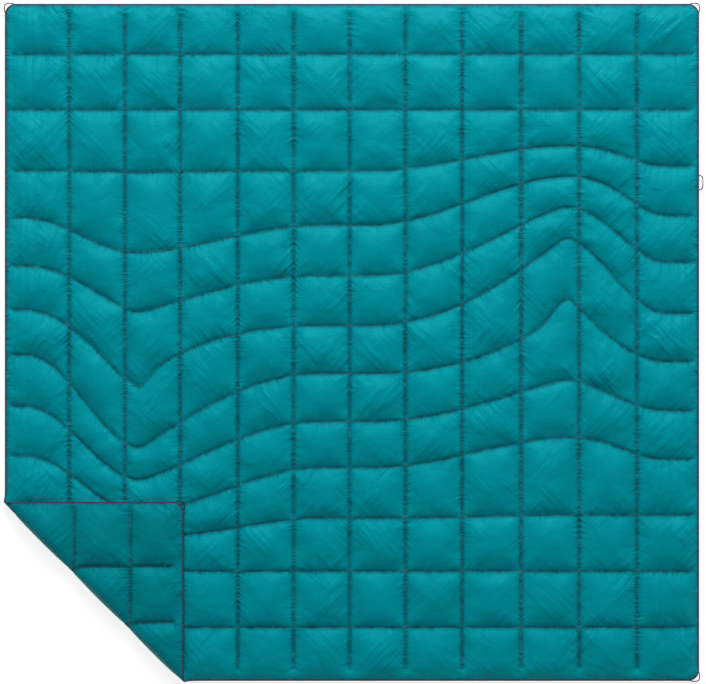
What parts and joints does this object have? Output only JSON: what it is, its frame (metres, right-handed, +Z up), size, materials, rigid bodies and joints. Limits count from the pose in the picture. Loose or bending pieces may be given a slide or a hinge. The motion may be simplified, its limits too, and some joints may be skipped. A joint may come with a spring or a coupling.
{
  "type": "camp blanket",
  "caption": "Nearly square quilted camp blanket for two, lying flat with one corner folded over, wavy sewn rows, bound edge, elastic corner loops and a side loop.",
  "frame": {"origin": "centre of the blanket's footprint, on the surface that it lies on", "axes": "+Z up out of the face fabric, +X towards the edge with the side loop, +Y towards the top edge, away from the folded corner"},
  "size_m": [2.047, 1.986, 0.0564],
  "materials": {
    "shell_fabric": "teal ripstop nylon taffeta with a soft sheen",
    "insulation": "white loose fibre insulation",
    "thread": "dark purple grey sewing thread",
    "binding_tape": "dark navy to purple woven binding tape",
    "elastic_cord": "black braided elastic cord",
    "sleeve_plastic": "light grey moulded plastic"
  },
  "bodies": {
    "blanket": {"face_shell": "shell_fabric", "back_shell": "shell_fabric", "fill_row_01": "insulation", "fill_row_02": "insulation", "fill_row_03": "insulation", "fill_row_04": "insulation", "fill_row_05": "insulation", "fill_row_06": "insulation", "fill_row_07": "insulation", "fill_row_08": "insulation", "fill_row_09": "insulation", "fill_row_10": "insulation", "fill_row_11": "insulation", "fill_row_12": "insulation", "fill_row_13": "insulation", "edge_binding": "binding_tape", "binding_stitching": "thread", "stitch_column_01": "thread", "stitch_column_02": "thread", "stitch_column_03": "thread", "stitch_column_04": "thread", "stitch_column_05": "thread", "stitch_column_06": "thread", "stitch_column_07": "thread", "stitch_column_08": "thread", "stitch_column_09": "thread", "stitch_column_10": "thread", "stitch_column_11": "thread", "stitch_row_01": "thread", "stitch_row_02": "thread", "stitch_row_03": "thread", "stitch_row_04": "thread", "stitch_row_05": "thread", "stitch_row_06": "thread", "stitch_row_07": "thread", "stitch_row_08": "thread", "stitch_row_09": "thread", "stitch_row_10": "thread", "stitch_row_11": "thread", "stitch_row_12": "thread", "corner_bar_tacks": "thread", "side_loop_bar_tacks": "thread"},
    "corner_flap": {"flap_face_shell": "shell_fabric", "flap_back_shell": "shell_fabric", "flap_fill": "insulation", "flap_binding": "binding_tape", "flap_binding_stitching": "thread", "flap_stitch_columns": "thread", "flap_stitch_rows": "thread", "flap_bar_tacks": "thread"},
    "corner_loop_top_left_cord": {"corner_loop_top_left": "elastic_cord"},
    "corner_loop_top_right_cord": {"corner_loop_top_right": "elastic_cord"},
    "corner_loop_bottom_right_cord": {"corner_loop_bottom_right": "elastic_cord"},
    "side_loop_assembly": {"side_loop": "elastic_cord", "side_loop_sleeve": "sleeve_plastic"},
    "flap_corner_loop_cord": {"flap_corner_loop": "elastic_cord"}
  },
  "joints": [
    {"name": "corner_fold", "type": "hinge", "parent": "blanket", "child": "corner_flap", "pos_m": [-0.7525, -0.7275, 0.0282], "axis": [0.7071, -0.7071, 0], "range_deg": [0, 180]},
    {"name": "corner_loop_top_left_swing", "type": "hinge", "parent": "blanket", "child": "corner_loop_top_left_cord", "pos_m": [-1.00325, 0.97825, 0.01], "axis": [0.7071, 0.7071, 0], "range_deg": [-30, 60], "stiffness_Nm_per_rad": 0.001},
    {"name": "corner_loop_top_right_swing", "type": "hinge", "parent": "blanket", "child": "corner_loop_top_right_cord", "pos_m": [1.00325, 0.97825, 0.01], "axis": [0.7071, -0.7071, 0], "range_deg": [-30, 60], "stiffness_Nm_per_rad": 0.001},
    {"name": "corner_loop_bottom_right_swing", "type": "hinge", "parent": "blanket", "child": "corner_loop_bottom_right_cord", "pos_m": [1.00325, -0.97825, 0.01], "axis": [-0.7071, -0.7071, 0], "range_deg": [-30, 60], "stiffness_Nm_per_rad": 0.001},
    {"name": "side_loop_swing", "type": "hinge", "parent": "blanket", "child": "side_loop_assembly", "pos_m": [1.0168, 0.467, 0.01], "axis": [0, -1, 0], "range_deg": [-30, 60], "stiffness_Nm_per_rad": 0.001},
    {"name": "flap_corner_loop_swing", "type": "hinge", "parent": "corner_flap", "child": "flap_corner_loop_cord", "pos_m": [-0.50175, -0.47675, 0.0384], "axis": [0.7071, -0.7071, 0], "range_deg": [-30, 60], "stiffness_Nm_per_rad": 0.001}
  ]
}
